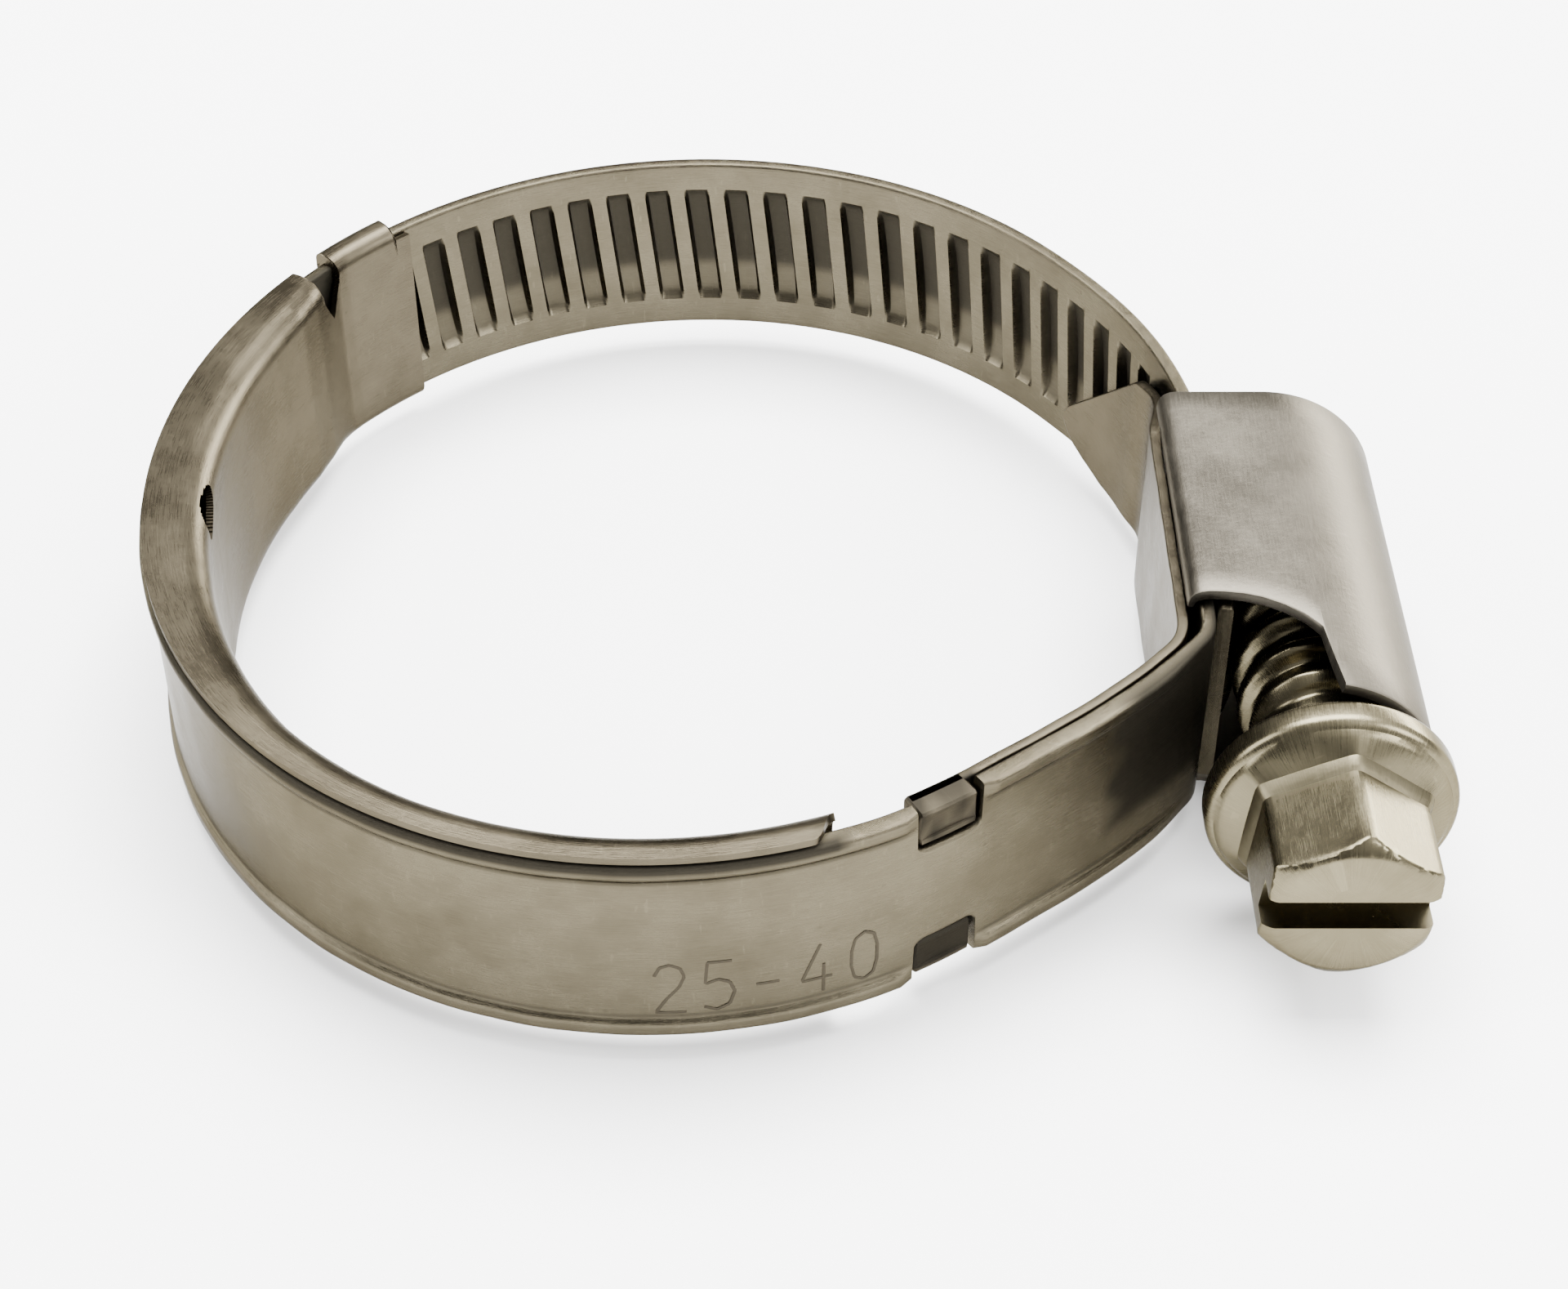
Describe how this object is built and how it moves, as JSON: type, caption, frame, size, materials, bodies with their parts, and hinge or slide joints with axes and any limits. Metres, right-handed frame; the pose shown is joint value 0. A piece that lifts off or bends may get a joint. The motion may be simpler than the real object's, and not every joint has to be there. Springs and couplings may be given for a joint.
{
  "type": "hose clamp",
  "caption": "Worm-drive hose clamp, standing open: narrow embossed steel band, arched screw housing, slotted hex screw and a sprung inner liner.",
  "frame": {"origin": "centre of the bounding box's base, with the clamp lying on its side", "axes": "+Z along the bore, +X towards the screw housing, -Y towards the screw's head"},
  "size_m": [0.0521, 0.0471, 0.0104],
  "materials": {
    "strip_steel": "rolled strip steel, warm grey, satin, with light scuffs",
    "shell_steel": "pressed steel, pale satin grey",
    "zinc_plate": "zinc plate with a faint yellow-green tint",
    "spring_steel": "bright spring strip, satin"
  },
  "bodies": {
    "clamp_body": {"band_plain_length": "strip_steel", "saddle_bridge": "shell_steel", "housing_shell": "shell_steel"},
    "threaded_half": {"band_threaded_length": "strip_steel", "spring_liner": "spring_steel"},
    "screw": {"worm_screw": "zinc_plate"}
  },
  "joints": [
    {"name": "screw_turn", "type": "hinge", "parent": "clamp_body", "child": "screw", "pos_m": [0.02122, -0.0157, 0.0052], "axis": [0, 1, 0], "range_deg": [0, 360]},
    {"name": "band_close", "type": "hinge", "parent": "clamp_body", "child": "threaded_half", "pos_m": [-0.02554, -0.00319, 0.0052], "axis": [0, 0, -1], "range_deg": [0, 2.5], "deforming": ["spring_liner"]}
  ],
  "couplings": [
    {"joint": "screw_turn", "follows": "band_close", "ratio": 143.69}
  ]
}
